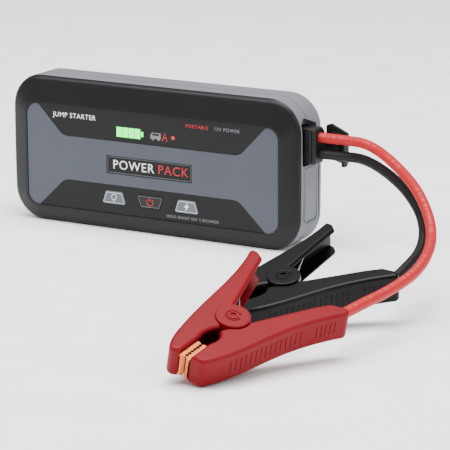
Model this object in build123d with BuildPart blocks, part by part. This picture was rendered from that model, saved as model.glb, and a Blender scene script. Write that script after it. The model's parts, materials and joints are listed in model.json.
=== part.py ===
"""Jump starter pack: a battery pack on its long edge, with a plug-in lead and two clamps.

Millimetres, +Z up.  The origin is the middle of the pack's bottom, the pack's face
looks along -Y, and the lead's socket is in the +X end.
"""
import os
from math import cos, pi, radians, sin, tan

from build123d import *

os.makedirs("parts", exist_ok=True)

# ---------------------------------------------------------------- driving dimensions
pack_half_length = 88.0
pack_height = 80.0
pack_half_depth = 15.0
end_bulge = 0.6
corner_radius = 18.0
rear_radius = 5.0
wall = 2.0
end_wall_inside = 82.5          # the +X end is thick, because the sockets sit in it

seam_y = -1.5                   # front and rear shells meet here
seam_groove = 0.4               # width and depth of the line between them
bezel_y = -10.0                 # the dark face frame starts here
slope_y = -11.5                 # the frame's face starts to slope inwards here
slope_radius = 3.5
tray_front_y = -12.6            # front of the shell's tray, behind the face plates
tray_wall = 1.4
front_wall_back_y = -8.0
rear_wall_y = pack_half_depth - wall

panel_half_width = 77.4
panel_bottom = 9.2
panel_top = 65.1
panel_radius = 6.5
plate_front_y = -14.7
plate_gap = 0.15                # between neighbouring face plates

screw_sites = [(x, z) for x in (-66.0, 66.0) for z in (9.5, 70.5)]
screw_radius = 1.2
screw_head_radius = 2.4
screw_head_seat_y = 11.0

key_spacing = 22.5
key_height = 7.0
key_centre_z = 18.0
key_travel = 0.5

socket_y = -1.0
socket_z = 55.8
socket_pitch = 8.6
recess_floor_x = 84.0
pin_radius = 2.5
plug_end_x = 94.5
plug_width = 11.0
plug_height = 18.6

port_floor_x = 86.3
port_cover_inner_x = 86.5
port_hinge = (87.5, 8.0)
port_low_z = 14.5
port_high_z = 44.2

cover_hinge = (90.8, 10.4)
cover_heading = -8.0            # the open socket cover stands beside the lead

cord_diameter = 5.2

arm_half = 7.5                  # half the thickness of a clamp
arm_edge = 1.8                  # rounding of the arms' long edges
arm_inside = 5.7                # half the width of the channel inside an arm
disc_radius = 8.0
disc_half = 8.6
eye_low = 3.9
eye_high = 5.5
bite_angle = 38.0
bite_tip = (-26.4, -21.4)
bite_length = 13.0
bite_gap = 2.8
clamp_pin_radius = 2.5


def save(part, name):
    """Label a finished piece and write it as its own STEP file."""
    part.label = name
    export_step(part, f"parts/{name}.step")


def upright(y):
    """Plane across the pack at depth y, facing the front."""
    return Plane.XZ.offset(-y)


def endwise(x):
    """Plane across the pack's length at x, facing +X; its x is Y and its y is Z."""
    return Plane.YZ.offset(x)


# ---------------------------------------------------------------- shared outlines
def casing_outline(inset=0.0):
    """The pack's outline seen from the front, with softly bulging ends."""
    with BuildSketch() as outline:
        with BuildLine():
            low_left = (-pack_half_length, 0)
            low_right = (pack_half_length, 0)
            high_right = (pack_half_length, pack_height)
            high_left = (-pack_half_length, pack_height)
            Line(low_left, low_right)
            ThreePointArc(low_right, (pack_half_length + end_bulge, pack_height / 2), high_right)
            Line(high_right, high_left)
            ThreePointArc(high_left, (-pack_half_length - end_bulge, pack_height / 2), low_left)
        make_face()
        fillet(outline.vertices(), corner_radius)
        if inset:
            offset(amount=-inset)
    return outline.sketch


def panel_outline(grow=0.0):
    """The rectangle of the face opening, grown or shrunk all round."""
    with BuildSketch() as outline:
        with Locations((0, (panel_bottom + panel_top) / 2)):
            RectangleRounded(
                2 * (panel_half_width + grow), panel_top - panel_bottom + 2 * grow, panel_radius + grow
            )
    return outline.sketch


def window_outline(grow=0.0):
    """The display window: wide at the top edge of the panel, narrow below."""
    with BuildSketch() as outline:
        with BuildLine():
            Polyline((-70, panel_top), (-54.5, 49), (54.5, 49), (70, panel_top), close=True)
        make_face()
        fillet(outline.vertices().group_by(Axis.Y)[0], 7)
        if grow:
            offset(amount=grow, kind=Kind.INTERSECTION)
    return outline.sketch


def keypad_outline(grow=0.0):
    """The keypad plate: wide at the bottom edge of the panel, narrow above."""
    with BuildSketch() as outline:
        with BuildLine():
            Polyline((-70, panel_bottom), (-53.5, 24.8), (53.5, 24.8), (70, panel_bottom), close=True)
        make_face()
        fillet(outline.vertices().group_by(Axis.Y)[-1], 7)
        if grow:
            offset(amount=grow, kind=Kind.INTERSECTION)
    return outline.sketch


def key_outline(width, slant, turned, grow=0.0):
    """A trapezoid key with soft corners."""
    with BuildSketch() as outline:
        Trapezoid(width + 2 * grow, key_height + 2 * grow, slant, rotation=turned)
        fillet(outline.vertices(), 1.3 + grow)
    return outline.sketch


keys = {
    "light_key": (-key_spacing, 15.0, 72.0, 0.0),
    "power_key": (0.0, 16.8, 70.0, 180.0),
    "boost_key": (key_spacing, 15.0, 72.0, 0.0),
}

# ---------------------------------------------------------------- casing form
with BuildPart() as casing:
    with BuildSketch(upright(slope_y)):
        add(casing_outline())
    extrude(amount=slope_y - pack_half_depth)
    fillet(casing.faces().sort_by(Axis.Y)[-1].edges(), rear_radius)
    with BuildSketch(upright(slope_y)):
        add(casing_outline())
    with BuildSketch(upright(-pack_half_depth)):
        add(panel_outline(grow=1.2))
    loft()
    slope_edges = casing.edges().filter_by(
        lambda edge: abs(edge.center().Y - slope_y) < 0.01 and abs(edge.bounding_box().size.Y) < 0.01
    )
    fillet(slope_edges, slope_radius)

# The hollow inside both shells stops short of the +X end.
with BuildPart() as hollow:
    with BuildSketch(upright(rear_wall_y)):
        add(casing_outline(wall))
        with Locations((end_wall_inside + 10, pack_height / 2)):
            Rectangle(20, pack_height, mode=Mode.SUBTRACT)
    extrude(amount=rear_wall_y - front_wall_back_y)
    fillet(hollow.faces().sort_by(Axis.Y)[-1].edges(), rear_radius - wall)

# Everything cut out of the thick +X end, through both shells.
with BuildPart() as end_openings:
    with BuildSketch(endwise(recess_floor_x)) as recess_sketch:
        with BuildLine():
            Polyline((-9, 45.2), (-9, 67.5), (-4.5, 70), (6.5, 66), (6.5, 45.2), close=True)
        make_face()
        fillet(recess_sketch.vertices(), 1.2)
    extrude(amount=12)
    with BuildSketch(endwise(end_wall_inside - 1)):
        with Locations((socket_y, socket_z)):
            Rectangle(plug_width + 1.7, plug_height + 1.3)
    extrude(amount=3)
    with BuildSketch(endwise(port_floor_x)):
        with Locations((0.7, (port_low_z + port_high_z) / 2)):
            Rectangle(16.9, port_high_z - port_low_z + 0.4)
    extrude(amount=6)
    with BuildSketch(endwise(end_wall_inside - 1)):
        with Locations((1.5, 35.0)):
            Rectangle(6.2, 13.6)
        with Locations((2.7, 21.5)):
            Rectangle(3.6, 9.4)
    extrude(amount=6)
    with BuildSketch(Plane.XY.offset(port_low_z - 1.2)):
        with Locations(port_hinge):
            Circle(0.5)
    extrude(amount=port_high_z - port_low_z + 2.4)

# The torch looks out of the -X end.
torch_y = 1.0 + 4.5
torch_z = 56.0
torch_radius = 4.6
with BuildPart() as torch_opening:
    with BuildSketch(endwise(-pack_half_length - 2)):
        with Locations((torch_y, torch_z)):
            Circle(torch_radius + 0.1)
    extrude(amount=6)

# ---------------------------------------------------------------- shells and face frame
with BuildPart() as front_shell:
    add(casing.part)
    split(bisect_by=upright(seam_y), keep=Keep.TOP)
    split(bisect_by=upright(bezel_y), keep=Keep.BOTTOM)
    with BuildSketch(upright(bezel_y)):
        add(panel_outline(grow=1.6))
    extrude(amount=bezel_y - tray_front_y)
    add(hollow.part, mode=Mode.SUBTRACT)
    with BuildSketch(upright(front_wall_back_y)):
        add(panel_outline(grow=0.0))
    extrude(amount=front_wall_back_y - tray_front_y - tray_wall, mode=Mode.SUBTRACT)
    for key_x, key_width, slant, turned in keys.values():
        with BuildSketch(upright(front_wall_back_y)):
            with Locations((key_x, key_centre_z)):
                add(key_outline(key_width, slant, turned, grow=1.4))
        extrude(amount=6, mode=Mode.SUBTRACT)
    with BuildSketch(upright(front_wall_back_y)):
        with Locations((-12.4, 54.2)):
            Rectangle(18, 7)
        with Locations((14.5, 54.2)):
            Circle(1.6)
    extrude(amount=6, mode=Mode.SUBTRACT)
    with BuildSketch(upright(seam_y)):
        with Locations(screw_sites):
            Circle(3.0)
    extrude(amount=seam_y - front_wall_back_y + 0.5)
    with BuildSketch(upright(seam_y)):
        with Locations(screw_sites):
            Circle(screw_radius + 0.05)
    extrude(amount=6, mode=Mode.SUBTRACT)
    with BuildSketch(upright(seam_y)):
        add(casing_outline())
        add(casing_outline(seam_groove), mode=Mode.SUBTRACT)
    extrude(amount=seam_groove, mode=Mode.SUBTRACT)
    add(end_openings.part, mode=Mode.SUBTRACT)
    add(torch_opening.part, mode=Mode.SUBTRACT)
save(front_shell.part, "front_shell")

with BuildPart() as rear_shell:
    add(casing.part)
    split(bisect_by=upright(seam_y), keep=Keep.BOTTOM)
    add(hollow.part, mode=Mode.SUBTRACT)
    with BuildSketch(upright(seam_y)):
        with Locations(screw_sites):
            Circle(3.6)
    extrude(amount=seam_y - rear_wall_y - 0.5)
    with BuildSketch(upright(seam_y)):
        with Locations(screw_sites):
            Circle(screw_radius + 0.2)
    extrude(amount=seam_y - pack_half_depth, mode=Mode.SUBTRACT)
    with BuildSketch(upright(screw_head_seat_y)):
        with Locations(screw_sites):
            Circle(screw_head_radius + 0.2)
    extrude(amount=screw_head_seat_y - pack_half_depth, mode=Mode.SUBTRACT)
    add(end_openings.part, mode=Mode.SUBTRACT)
    add(torch_opening.part, mode=Mode.SUBTRACT)
save(rear_shell.part, "rear_shell")

with BuildPart() as face_bezel:
    add(casing.part)
    split(bisect_by=upright(bezel_y), keep=Keep.TOP)
    with BuildSketch(upright(bezel_y)):
        add(panel_outline(grow=1.6))
    extrude(amount=bezel_y - tray_front_y, mode=Mode.SUBTRACT)
    with BuildSketch(upright(tray_front_y)):
        add(panel_outline())
    extrude(amount=6, mode=Mode.SUBTRACT)
save(face_bezel.part, "face_bezel")

with BuildPart() as case_screws:
    with BuildSketch(upright(screw_head_seat_y)):
        with Locations(screw_sites):
            Circle(screw_radius)
    extrude(amount=screw_head_seat_y + 5.5)
    with BuildSketch(upright(screw_head_seat_y)):
        with Locations(screw_sites):
            Circle(screw_head_radius)
    extrude(amount=-1.6)
    with BuildSketch(upright(screw_head_seat_y + 1.6)):
        with Locations(screw_sites):
            Rectangle(2.6, 0.7)
            Rectangle(0.7, 2.6)
    extrude(amount=0.8, mode=Mode.SUBTRACT)
save(case_screws.part, "case_screws")

# ---------------------------------------------------------------- face plates
badge_width = 52.8
badge_height = 9.9
badge_z = 36.0
badge_depth = 0.8

with BuildPart() as face_panel:
    with BuildSketch(upright(tray_front_y)):
        add(panel_outline(grow=-plate_gap))
        add(window_outline(grow=plate_gap), mode=Mode.SUBTRACT)
        add(keypad_outline(grow=plate_gap), mode=Mode.SUBTRACT)
    extrude(amount=tray_front_y - plate_front_y)
    with BuildSketch(upright(plate_front_y)):
        with Locations((-0.6, badge_z)):
            Rectangle(badge_width, badge_height)
    extrude(amount=-badge_depth, mode=Mode.SUBTRACT)
save(face_panel.part, "face_panel")

with BuildPart() as badge_plate:
    with BuildSketch(upright(plate_front_y + badge_depth)):
        with Locations((-0.6, badge_z)):
            Rectangle(badge_width - 2 * plate_gap, badge_height - 2 * plate_gap)
    extrude(amount=0.4)
save(badge_plate.part, "badge_plate")

gauge_left = -20.4
gauge_bar_width = 3.4
gauge_pitch = 3.75
gauge_height = 5.2
gauge_z = 54.2
gauge_sites = [(gauge_left + gauge_bar_width / 2 + step * gauge_pitch, gauge_z) for step in range(4)]
nub_site = (-4.6, gauge_z)

with BuildPart() as display_window:
    with BuildSketch(upright(tray_front_y)):
        add(window_outline())
        add(panel_outline(grow=-plate_gap), mode=Mode.INTERSECT)
        with Locations(gauge_sites):
            Rectangle(gauge_bar_width + 0.2, gauge_height + 0.2, mode=Mode.SUBTRACT)
        with Locations(nub_site):
            Rectangle(1.5, 2.8, mode=Mode.SUBTRACT)
        with Locations((14.5, gauge_z)):
            Circle(1.2, mode=Mode.SUBTRACT)
    extrude(amount=tray_front_y - plate_front_y - 0.2)
save(display_window.part, "display_window")

with BuildPart() as gauge_bars:
    with BuildSketch(upright(tray_front_y)):
        with Locations(gauge_sites):
            Rectangle(gauge_bar_width, gauge_height)
        with Locations(nub_site):
            Rectangle(1.3, 2.6)
    extrude(amount=tray_front_y - plate_front_y - 0.15)
save(gauge_bars.part, "gauge_bars")

with BuildPart() as status_light:
    with BuildSketch(upright(tray_front_y)):
        with Locations((14.5, gauge_z)):
            Circle(1.1)
    extrude(amount=tray_front_y - plate_front_y - 0.15)
save(status_light.part, "status_light")

with BuildPart() as keypad_plate:
    with BuildSketch(upright(tray_front_y)):
        add(keypad_outline())
        add(panel_outline(grow=-plate_gap), mode=Mode.INTERSECT)
        for key_x, key_width, slant, turned in keys.values():
            with Locations((key_x, key_centre_z)):
                add(key_outline(key_width, slant, turned, grow=0.2), mode=Mode.SUBTRACT)
    extrude(amount=tray_front_y - plate_front_y - 0.2)
save(keypad_plate.part, "keypad_plate")

for key_name, (key_x, key_width, slant, turned) in keys.items():
    with BuildPart() as key:
        with BuildSketch(upright(tray_front_y + 0.1)):
            with Locations((key_x, key_centre_z)):
                add(key_outline(key_width, slant, turned))
        extrude(amount=tray_front_y + 0.1 - plate_front_y + 0.1)
        fillet(key.faces().sort_by(Axis.Y)[0].edges(), 0.4)
        with BuildSketch(upright(tray_front_y + 0.1)):
            with Locations((key_x, key_centre_z)):
                add(key_outline(key_width, slant, turned, grow=0.9))
        extrude(amount=-0.8)
        with BuildSketch(upright(tray_front_y + 0.9)):
            with Locations((key_x, key_centre_z)):
                Circle(1.6)
        extrude(amount=-0.2)
    save(key.part, key_name)

# ---------------------------------------------------------------- boards and battery
board_front_y = -9.7
board_back_y = -8.1
with BuildPart() as main_board:
    with BuildSketch(upright(board_back_y)):
        with Locations((0, 37.6)):
            RectangleRounded(148, 48, 3)
    extrude(amount=board_back_y - board_front_y)
save(main_board.part, "main_board")

switch_top_y = tray_front_y + 1.1 + key_travel + 0.1
with BuildPart() as tact_switches:
    with BuildSketch(upright(board_front_y)):
        with Locations(*[(row[0], key_centre_z) for row in keys.values()]):
            Rectangle(6, 6)
    extrude(amount=0.8)
    with BuildSketch(upright(board_front_y - 0.8)):
        with Locations(*[(row[0], key_centre_z) for row in keys.values()]):
            Circle(1.7)
    extrude(amount=board_front_y - 0.8 - switch_top_y)
save(tact_switches.part, "tact_switches")

with BuildPart() as power_transistors:
    with BuildSketch(upright(board_back_y)):
        with Locations((30, 68 - 12)):
            with GridLocations(12, 0, 3, 1):
                Rectangle(9, 6)
    extrude(amount=-2.2)
save(power_transistors.part, "power_transistors")

with BuildPart() as board_chips:
    with BuildSketch(upright(board_back_y)):
        with Locations((-20, 40)):
            Rectangle(9, 9)
        with Locations((10, 32), (-45, 30)):
            Rectangle(6, 5)
    extrude(amount=-1.2)
save(board_chips.part, "board_chips")

cell_length = 124.0
cell_height = 46.0
cell_depth = 4.8
cell_pitch = 5.2
cell_front_y = -2.6
cell_centre = (-2.0, 40.0)
with BuildPart() as battery_cells:
    for step in range(3):
        with BuildSketch(upright(cell_front_y + step * cell_pitch)):
            with Locations(cell_centre):
                RectangleRounded(cell_length, cell_height, 3)
        extrude(amount=-cell_depth)
save(battery_cells.part, "battery_cells")

with BuildPart() as cell_pads:
    for step in range(2):
        with BuildSketch(upright(cell_front_y + cell_depth + step * cell_pitch)):
            with Locations(cell_centre):
                Rectangle(cell_length - 10, cell_height - 8)
        extrude(amount=-(cell_pitch - cell_depth))
save(cell_pads.part, "cell_pads")

contact_back_x = 66.0
with BuildPart() as bus_bars:
    with BuildSketch(endwise(cell_centre[0] + cell_length / 2)):
        with Locations(*[(socket_y + 1.5, socket_z + side * socket_pitch / 2) for side in (-1, 1)]):
            Rectangle(1.0, 5.5)
    extrude(amount=contact_back_x - cell_centre[0] - cell_length / 2)
save(bus_bars.part, "bus_bars")

# ---------------------------------------------------------------- jump socket and its cover
pin_sites = [(socket_y, socket_z + side * socket_pitch / 2) for side in (-1, 1)]
contact_radius = 3.3
with BuildPart() as jump_socket:
    with BuildSketch(endwise(contact_back_x)):
        with Locations((socket_y, socket_z)):
            RectangleRounded(plug_width + 1.3, plug_height + 0.9, 1.5)
        with Locations(*pin_sites):
            Circle(contact_radius, mode=Mode.SUBTRACT)
    extrude(amount=recess_floor_x - contact_back_x)
save(jump_socket.part, "jump_socket")

with BuildPart() as socket_contacts:
    with BuildSketch(endwise(contact_back_x)):
        with Locations(*pin_sites):
            Circle(contact_radius)
    extrude(amount=recess_floor_x - contact_back_x - 1)
    with BuildSketch(endwise(contact_back_x + 2)):
        with Locations(*pin_sites):
            Circle(pin_radius + 0.08)
    extrude(amount=20, mode=Mode.SUBTRACT)
save(socket_contacts.part, "socket_contacts")

knuckle_radius = 1.3
knuckle_low_z = 52.0
knuckle_high_z = 57.5
lug_height = 2.2
hinge_plane = Plane(origin=(cover_hinge[0], cover_hinge[1], knuckle_low_z), z_dir=(0, 0, 1))
with BuildPart() as cover_bracket:
    for low in (-lug_height - 0.2, knuckle_high_z - knuckle_low_z + 0.2):
        with BuildSketch(hinge_plane.offset(low)):
            Circle(knuckle_radius)
            with Locations((-1.6, -0.9)):
                Rectangle(3.0, 2.2)
        extrude(amount=lug_height)
    with BuildSketch(hinge_plane):
        Circle(0.6)
    extrude(amount=knuckle_high_z - knuckle_low_z + lug_height + 0.2, mode=Mode.SUBTRACT)
    with BuildSketch(hinge_plane):
        Circle(0.6)
    extrude(amount=-lug_height - 0.2, mode=Mode.SUBTRACT)
    add(casing.part, mode=Mode.SUBTRACT)
save(cover_bracket.part, "cover_bracket")

with BuildPart() as cover_pin:
    with BuildSketch(hinge_plane.offset(-lug_height - 0.2)):
        Circle(0.6)
    extrude(amount=knuckle_high_z - knuckle_low_z + 2 * lug_height + 0.4)
save(cover_pin.part, "cover_pin")

cover_direction = Vector(cos(radians(cover_heading)), sin(radians(cover_heading)), 0)
cover_plane = Plane(
    origin=(cover_hinge[0], cover_hinge[1], 0),
    x_dir=cover_direction,
    z_dir=cover_direction.cross(Vector(0, 0, 1)),
)
cover_length = 15.0
with BuildPart() as socket_cover:
    with BuildSketch(cover_plane) as cover_sketch:
        with BuildLine():
            Polyline((2.0, 47.7), (2.0, 64.5), (4.5, 65.5), (cover_length, 61.5), (cover_length, 44.9), close=True)
        make_face()
        fillet(cover_sketch.vertices(), 1.2)
    extrude(amount=1.0, both=True)
    with BuildSketch(cover_plane):
        with Locations((cover_length - 0.9, 52.5)):
            Rectangle(1.8, 16.5)
    extrude(amount=3.0)
    with BuildSketch(cover_plane):
        with Locations((7.6, 55)):
            RectangleRounded(7.0, 13.5, 2.0)
    extrude(amount=2.0)
    with BuildSketch(cover_plane):
        with Locations((1.4, (knuckle_low_z + knuckle_high_z) / 2)):
            Rectangle(2.8, knuckle_high_z - knuckle_low_z)
    extrude(amount=0.7, both=True)
    with BuildSketch(hinge_plane):
        Circle(knuckle_radius)
    extrude(amount=knuckle_high_z - knuckle_low_z)
    with BuildSketch(hinge_plane):
        Circle(0.65)
    extrude(amount=knuckle_high_z - knuckle_low_z, mode=Mode.SUBTRACT)
save(socket_cover.part, "socket_cover")

# ---------------------------------------------------------------- charging ports and their cover
with BuildPart() as port_cover:
    add(casing.part)
    with BuildSketch(endwise(port_cover_inner_x)):
        with Locations(((port_hinge[1] - 7.6) / 2, (port_low_z + port_high_z) / 2)):
            Rectangle(port_hinge[1] + 7.6, port_high_z - port_low_z)
    extrude(amount=6, mode=Mode.INTERSECT)
    with BuildSketch(Plane.XY.offset(port_low_z)):
        with Locations(port_hinge):
            Circle(1.0)
    extrude(amount=port_high_z - port_low_z)
    add(casing.part, mode=Mode.INTERSECT)
    with BuildSketch(Plane.XY.offset(port_low_z)):
        with Locations(port_hinge):
            Circle(0.55)
    extrude(amount=port_high_z - port_low_z, mode=Mode.SUBTRACT)
save(port_cover.part, "port_cover")

with BuildPart() as port_pin:
    with BuildSketch(Plane.XY.offset(port_low_z - 1.0)):
        with Locations(port_hinge):
            Circle(0.5)
    extrude(amount=port_high_z - port_low_z + 2.0)
save(port_pin.part, "port_pin")

port_board_y = 4.6
with BuildPart() as port_board:
    with BuildSketch(upright(port_board_y)):
        with Locations((72, 29)):
            Rectangle(18, 28)
    extrude(amount=-1.2)
save(port_board.part, "port_board")

with BuildPart() as usb_a_socket:
    with BuildSketch(endwise(71)):
        with Locations((1.5, 35.0)):
            RectangleRounded(6.0, 13.2, 0.6)
    extrude(amount=port_floor_x - 71)
    with BuildSketch(endwise(port_floor_x)):
        with Locations((1.5, 35.0)):
            Rectangle(5.1, 12.3)
    extrude(amount=-9, mode=Mode.SUBTRACT)
    with BuildSketch(endwise(port_floor_x - 9)):
        with Locations((2.6, 35.0)):
            Rectangle(1.8, 11.0)
    extrude(amount=8)
save(usb_a_socket.part, "usb_a_socket")

with BuildPart() as usb_c_socket:
    with BuildSketch(endwise(77)):
        with Locations((2.7, 21.5)):
            SlotOverall(9.0, 3.2, rotation=90)
    extrude(amount=port_floor_x - 77)
    with BuildSketch(endwise(port_floor_x)):
        with Locations((2.7, 21.5)):
            SlotOverall(8.3, 2.5, rotation=90)
    extrude(amount=-6, mode=Mode.SUBTRACT)
    with BuildSketch(endwise(port_floor_x - 6)):
        with Locations((2.7, 21.5)):
            Rectangle(0.7, 6.6)
    extrude(amount=5.2)
save(usb_c_socket.part, "usb_c_socket")

# ---------------------------------------------------------------- torch
torch_face_x = -pack_half_length - end_bulge + 0.6
with BuildPart() as torch_lens:
    with BuildSketch(endwise(torch_face_x)):
        with Locations((torch_y, torch_z)):
            Circle(torch_radius)
    extrude(amount=2.0)
    with BuildSketch(endwise(torch_face_x + 2.0)):
        with Locations((torch_y, torch_z)):
            Circle(torch_radius - 1.2)
    extrude(amount=-1.2, mode=Mode.SUBTRACT)
    fillet(torch_lens.faces().sort_by(Axis.X)[0].edges(), 0.4)
save(torch_lens.part, "torch_lens")

with BuildPart() as torch_lamp:
    with BuildSketch(endwise(torch_face_x + 4.2)):
        with Locations((torch_y, torch_z)):
            Rectangle(11, 11)
    extrude(amount=1.2)
    with BuildSketch(endwise(torch_face_x + 4.2)):
        with Locations((torch_y, torch_z)):
            Circle(1.8)
    extrude(amount=-1.6)
save(torch_lamp.part, "torch_lamp")

# ---------------------------------------------------------------- plug
plug_back_x = recess_floor_x + 0.3
with BuildPart() as plug_housing:
    with BuildSketch(endwise(plug_back_x)) as plug_sketch:
        with Locations((socket_y, socket_z)):
            Rectangle(plug_width, plug_height)
        chamfer(plug_sketch.vertices().group_by(Axis.X)[-1], 2.5)
        fillet(plug_sketch.vertices().group_by(Axis.X)[0], 1.0)
    extrude(amount=plug_end_x - plug_back_x)
    for step in range(4):
        with BuildSketch(endwise(plug_back_x + 3.0 + step * 1.6)):
            with Locations((socket_y, socket_z)):
                Rectangle(plug_width + 2, plug_height + 2)
                Rectangle(plug_width - 0.7, plug_height + 4, mode=Mode.SUBTRACT)
        extrude(amount=0.7, mode=Mode.SUBTRACT)
    chamfer(plug_housing.faces().sort_by(Axis.X)[-1].edges(), 0.5)
    with BuildSketch(endwise(plug_back_x)):
        with Locations(*pin_sites):
            Circle(pin_radius)
    extrude(amount=5, mode=Mode.SUBTRACT)
save(plug_housing.part, "plug_housing")

with BuildPart() as plug_pins:
    with BuildSketch(endwise(contact_back_x + 3)):
        with Locations(*pin_sites):
            Circle(pin_radius)
    extrude(amount=plug_back_x + 5 - contact_back_x - 3)
    fillet(plug_pins.faces().group_by(Axis.X)[0].edges(), 1.2)
save(plug_pins.part, "plug_pins")

# ---------------------------------------------------------------- clamps
clamps = {
    "red": Plane(origin=(158.9, -205.8, 17.9), x_dir=(0.700, 0.714, -0.011), z_dir=(0.295, -0.275, 0.915)),
    "black": Plane(origin=(144.8, -131.4, 16.6), x_dir=(0.883, 0.467, 0.046), z_dir=(0.104, -0.290, 0.951)),
}
bite_along = Vector(cos(radians(bite_angle)), sin(radians(bite_angle)))
bite_across = Vector(-sin(radians(bite_angle)), cos(radians(bite_angle)))


def bite_point(along, across):
    """A point beside the line where the jaws meet, from its tip and to one side."""
    point = Vector(*bite_tip) + bite_along * along + bite_across * across
    return (point.X, point.Y)


def cable_arm_outline():
    """The arm that holds the cable: jaw, bowed back, and a handle with a sloped end."""
    with BuildSketch() as outline:
        with BuildLine():
            Spline((55.0, -2.6), (40, -5.4), (22, -11.4), (5, -19.4), (-9, -25.4), (-20.5, -28.4))
            Polyline((-20.5, -28.4), bite_point(0, -bite_gap), bite_point(bite_length, -bite_gap))
            ThreePointArc(bite_point(bite_length, -bite_gap), (-9.6, -12.6), (-7.8, -7.6))
            Polyline((-7.8, -7.6), (7, -3.6), (38, 3.6), (46, 4.8), (52.4, 1.6), (55.0, -2.6))
        make_face()
        for spot, radius in (((-20.5, -28.4), 3.0), ((55.0, -2.6), 2.6)):
            fillet(outline.vertices().sort_by_distance((*spot, 0))[0], radius)
    return outline.sketch


def grip_arm_outline():
    """The arm without a cable: jaw, back curving into the handle, and a blunt end."""
    with BuildSketch() as outline:
        with BuildLine():
            Spline((20.7, 48.1), (6.3, 29.4), (-9.4, 13.5), (-24.4, -2.6), (-31.6, -13.2), (-33.0, -18.6))
            Polyline((-33.0, -18.6), bite_point(0, bite_gap), bite_point(bite_length, bite_gap))
            ThreePointArc(bite_point(bite_length, bite_gap), (-12.6, -6.6), (-7.1, -5.3))
            Polyline((-7.1, -5.3), (2.1, 7.2), (24.4, 40.6), (23.6, 45.0), (20.7, 48.1))
        make_face()
        for spot, radius in (
            ((-33.0, -18.6), 3.5), ((24.4, 40.6), 2.5), ((20.7, 48.1), 1.6),
            ((23.6, 45.0), 2.0), ((2.1, 7.2), 6.0), (bite_point(0, bite_gap), 1.8),
        ):
            fillet(outline.vertices().sort_by_distance((*spot, 0))[0], radius)
    return outline.sketch


def cable_arm_hollow_outline():
    """The channel inside the cable arm, open towards the other arm."""
    with BuildSketch() as outline:
        with BuildLine():
            Spline((51.6, -1.7), (40, -3.8), (22.4, -9.4), (5.7, -17.5), (-8.4, -23.5), (-19.4, -26.2))
            Polyline((-19.4, -26.2), bite_point(1.6, -4.6), bite_point(1.6, 1), bite_point(17, 3))
            Polyline(bite_point(17, 3), (-2, 2), (5, 2), (37, 9), (55.5, 6), (51.6, -1.7))
        make_face()
    return outline.sketch


def grip_arm_hollow_outline():
    """The channel inside the grip arm, open towards the other arm, and round the pivot."""
    with BuildSketch() as outline:
        with BuildLine():
            Spline((23.9, 49.4), (7.7, 28.2), (-8.1, 12.2), (-23.0, -3.7), (-29.9, -13.6), (-31.0, -17.2))
            Polyline((-31.0, -17.2), bite_point(1.8, 2.8), bite_point(1.8, -1), bite_point(17, -3))
            Polyline(bite_point(17, -3), (3, -3), (12, 4), (27, 36), (31, 42), (23.9, 49.4))
        make_face()
        Circle(disc_radius + 1.2)
    return outline.sketch


def toothed_bar(side):
    """A copper jaw strip seen from the side, with its teeth at the bite line."""
    tooth_pitch = 1.8
    tooth_count = 7
    teeth = [bite_point(-0.6, side * 1.1)]
    for step in range(tooth_count):
        teeth.append(bite_point(-0.6 + (step + 0.5) * tooth_pitch, side * 0.2))
        teeth.append(bite_point(-0.6 + (step + 1.0) * tooth_pitch, side * 1.1))
    back = [bite_point(-0.6 + tooth_count * tooth_pitch, side * 4.3), bite_point(1.8, side * 4.3)]
    step_back = [bite_point(1.8, side * 2.7), bite_point(-0.6, side * 2.7)]
    with BuildSketch() as bar:
        with BuildLine():
            Polyline(*teeth, *back, *step_back, close=True)
        make_face()
    return bar.sketch


cable_outline = cable_arm_outline()
grip_outline = grip_arm_outline()

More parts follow.
